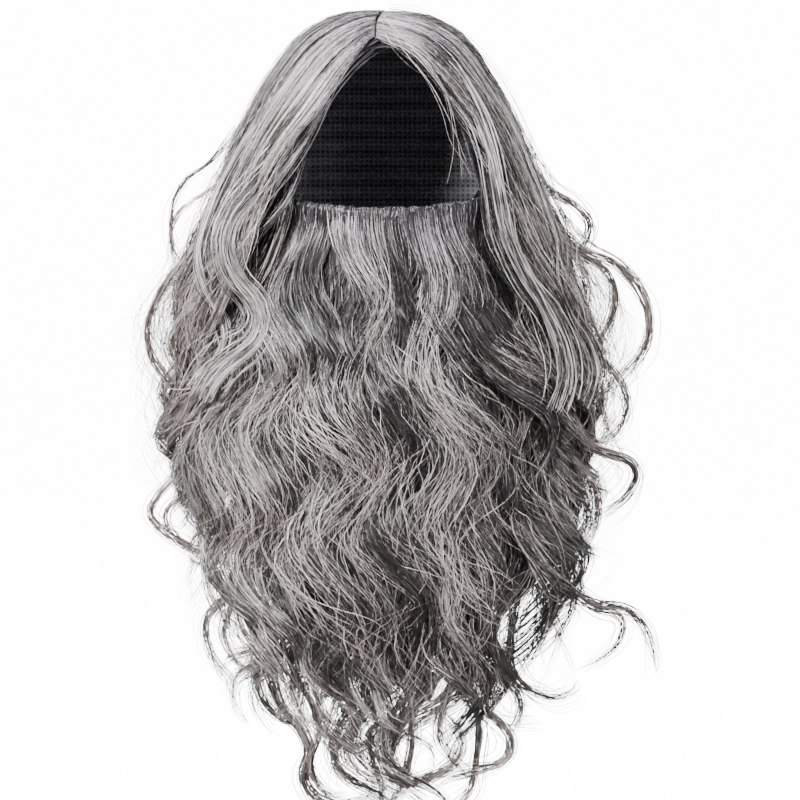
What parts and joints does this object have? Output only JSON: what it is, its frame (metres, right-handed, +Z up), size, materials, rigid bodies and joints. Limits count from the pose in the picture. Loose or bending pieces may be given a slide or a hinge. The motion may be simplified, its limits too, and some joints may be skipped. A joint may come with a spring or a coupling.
{
  "type": "wig and beard set",
  "caption": "Long wavy grey wig on an open cap with a centre parting, and a matching full beard on a curved backing, both holding the form they have on a head.",
  "frame": {"origin": "inside of the cap's top, where the crown of the wearer's head carries the set", "axes": "+Z up, -Y out of the face, +X towards the wearer's left"},
  "size_m": [0.388, 0.3075, 0.6066],
  "materials": {
    "wig_hair": "wavy synthetic hair in silver, mid grey and charcoal strands, soft sheen",
    "beard_hair": "wavy synthetic hair in silver, mid grey and charcoal strands, soft sheen",
    "cap_net": "dark matt stretch net",
    "dark_band": "dark blue-black matt tape",
    "beard_backing": "dark matt cloth",
    "elastic": "dark ribbed elastic"
  },
  "bodies": {
    "root": {"wig_cap": "cap_net", "hairline_band": "dark_band", "parting_strip": "dark_band", "wig_hair_left": "wig_hair", "wig_hair_right": "wig_hair", "wig_hair_back": "wig_hair", "beard_base": "beard_backing", "beard_band": "beard_hair", "beard_hair": "beard_hair", "beard_strap": "elastic"}
  },
  "joints": []
}
